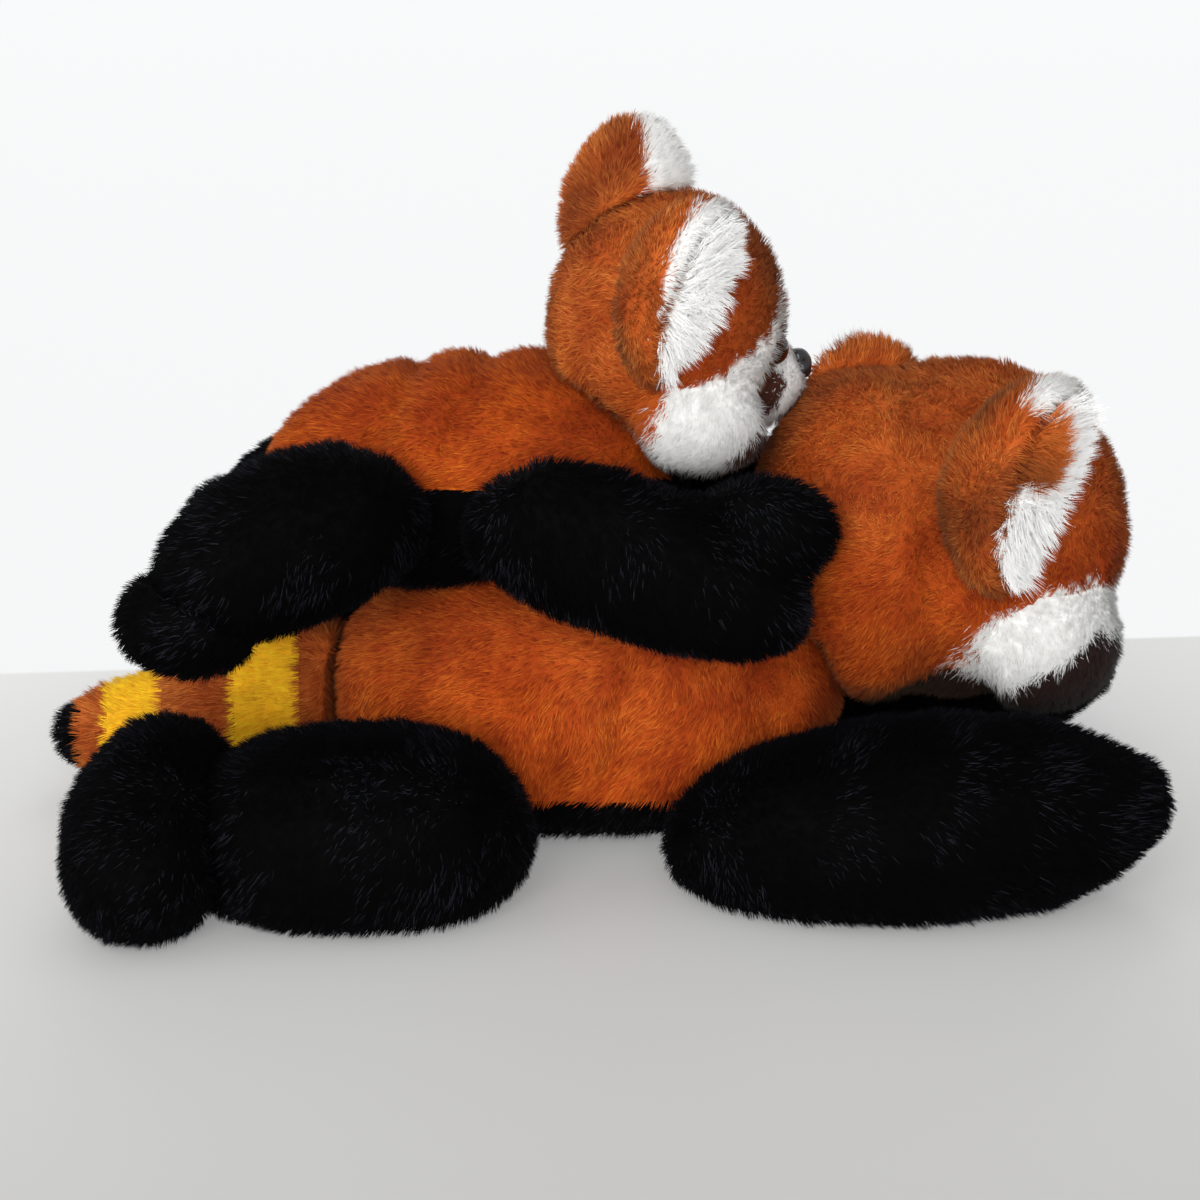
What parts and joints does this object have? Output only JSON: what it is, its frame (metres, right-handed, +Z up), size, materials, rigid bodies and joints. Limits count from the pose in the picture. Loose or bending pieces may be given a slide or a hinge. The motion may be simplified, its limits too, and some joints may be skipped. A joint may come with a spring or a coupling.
{
  "type": "plush red panda with baby",
  "caption": "Plush red panda lying on its belly with a smaller baby of its kind on its back, each with a banded tail.",
  "frame": {"origin": "the point of the flat face under the mother's belly where the toy lies on a surface, midway between her flanks", "axes": "+X the way the mother's body points, +Y her left, +Z up"},
  "size_m": [0.403, 0.288, 0.2478],
  "materials": {
    "rust_plush": "long soft pile",
    "brown_plush": "long soft pile",
    "black_plush": "long soft pile",
    "white_plush": "long soft pile",
    "yellow_plush": "long soft pile",
    "filling": "loose fibre",
    "black_plastic": "glossy",
    "white_plastic": "matte"
  },
  "bodies": {
    "mother_trunk": {"mother_back": "rust_plush", "mother_belly": "black_plush", "mother_filling": "filling"},
    "mother_head_body": {"mother_head": "rust_plush", "mother_muzzle": "white_plush", "mother_nose": "black_plastic", "mother_nose_washer": "white_plastic", "mother_ear_right": "brown_plush", "mother_ear_lining_right": "white_plush", "mother_cheek_right": "white_plush", "mother_eye_right": "black_plastic", "mother_eye_washer_right": "white_plastic", "mother_ear_left": "brown_plush", "mother_ear_lining_left": "white_plush", "mother_cheek_left": "white_plush", "mother_eye_left": "black_plastic", "mother_eye_washer_left": "white_plastic"},
    "mother_front_leg_right_body": {"mother_front_leg_right": "black_plush"},
    "mother_hind_leg_right_body": {"mother_thigh_right": "black_plush", "mother_foot_right": "black_plush"},
    "mother_front_leg_left_body": {"mother_front_leg_left": "black_plush"},
    "mother_hind_leg_left_body": {"mother_thigh_left": "black_plush", "mother_foot_left": "black_plush"},
    "mother_tail_body": {"mother_tail_band_1": "brown_plush", "mother_tail_band_2": "yellow_plush", "mother_tail_band_3": "brown_plush", "mother_tail_band_4": "yellow_plush", "mother_tail_band_5": "brown_plush", "mother_tail_band_6": "black_plush"},
    "baby_trunk": {"baby_back": "rust_plush", "baby_belly": "black_plush", "baby_filling": "filling", "baby_tail_band_1": "yellow_plush", "baby_tail_band_2": "brown_plush", "baby_tail_band_3": "yellow_plush", "baby_tail_band_4": "black_plush"},
    "baby_head_body": {"baby_head": "rust_plush", "baby_muzzle": "white_plush", "baby_nose": "black_plastic", "baby_nose_washer": "white_plastic", "baby_ear_right": "brown_plush", "baby_ear_lining_right": "white_plush", "baby_cheek_right": "white_plush", "baby_eye_right": "black_plastic", "baby_eye_washer_right": "white_plastic", "baby_ear_left": "brown_plush", "baby_ear_lining_left": "white_plush", "baby_cheek_left": "white_plush", "baby_eye_left": "black_plastic", "baby_eye_washer_left": "white_plastic"},
    "baby_arm_right_body": {"baby_arm_right": "black_plush"},
    "baby_hind_leg_right_body": {"baby_leg_right": "black_plush", "baby_foot_right": "black_plush"},
    "baby_arm_left_body": {"baby_arm_left": "black_plush"},
    "baby_hind_leg_left_body": {"baby_leg_left": "black_plush", "baby_foot_left": "black_plush"}
  },
  "joints": [
    {"name": "mother_head_turn", "type": "hinge", "parent": "mother_trunk", "child": "mother_head_body", "pos_m": [0.08, 0, 0.1], "axis": [0, 0, 1], "range_deg": [-10, 10], "stiffness_Nm_per_rad": 0.05},
    {"name": "mother_front_leg_right_swing", "type": "hinge", "parent": "mother_trunk", "child": "mother_front_leg_right_body", "pos_m": [0.034, -0.06, 0.03], "axis": [0, 0, -1], "range_deg": [0, 20]},
    {"name": "mother_front_leg_left_swing", "type": "hinge", "parent": "mother_trunk", "child": "mother_front_leg_left_body", "pos_m": [0.034, 0.06, 0.03], "axis": [0, 0, 1], "range_deg": [0, 20]},
    {"name": "mother_hind_leg_right_swing", "type": "hinge", "parent": "mother_trunk", "child": "mother_hind_leg_right_body", "pos_m": [-0.036, -0.06, 0.03], "axis": [0, 0, 1], "range_deg": [0, 18]},
    {"name": "mother_hind_leg_left_swing", "type": "hinge", "parent": "mother_trunk", "child": "mother_hind_leg_left_body", "pos_m": [-0.036, 0.06, 0.03], "axis": [0, 0, -1], "range_deg": [0, 18]},
    {"name": "mother_tail_swing", "type": "hinge", "parent": "mother_trunk", "child": "mother_tail_body", "pos_m": [-0.08, 0.002, 0.045], "axis": [0, 0, 1], "range_deg": [-8, 12]},
    {"name": "baby_lift", "type": "slide", "parent": "mother_trunk", "child": "baby_trunk", "axis": [0, 0, 1], "range_m": [0, 0.14]},
    {"name": "baby_head_turn", "type": "hinge", "parent": "baby_trunk", "child": "baby_head_body", "pos_m": [0.014, -0.004, 0.145], "axis": [0, 0, 1], "range_deg": [-8, 8], "stiffness_Nm_per_rad": 0.02},
    {"name": "baby_arm_right_open", "type": "hinge", "parent": "baby_trunk", "child": "baby_arm_right_body", "pos_m": [0, -0.036, 0.146], "axis": [-1, 0, 0], "range_deg": [0, 40], "stiffness_Nm_per_rad": 0.02},
    {"name": "baby_arm_left_open", "type": "hinge", "parent": "baby_trunk", "child": "baby_arm_left_body", "pos_m": [0, 0.036, 0.146], "axis": [1, 0, 0], "range_deg": [0, 40], "stiffness_Nm_per_rad": 0.02},
    {"name": "baby_hind_leg_right_open", "type": "hinge", "parent": "baby_trunk", "child": "baby_hind_leg_right_body", "pos_m": [0, -0.038, 0.146], "axis": [-1, 0, 0], "range_deg": [0, 36], "stiffness_Nm_per_rad": 0.02},
    {"name": "baby_hind_leg_left_open", "type": "hinge", "parent": "baby_trunk", "child": "baby_hind_leg_left_body", "pos_m": [0, 0.038, 0.146], "axis": [1, 0, 0], "range_deg": [0, 36], "stiffness_Nm_per_rad": 0.02}
  ]
}
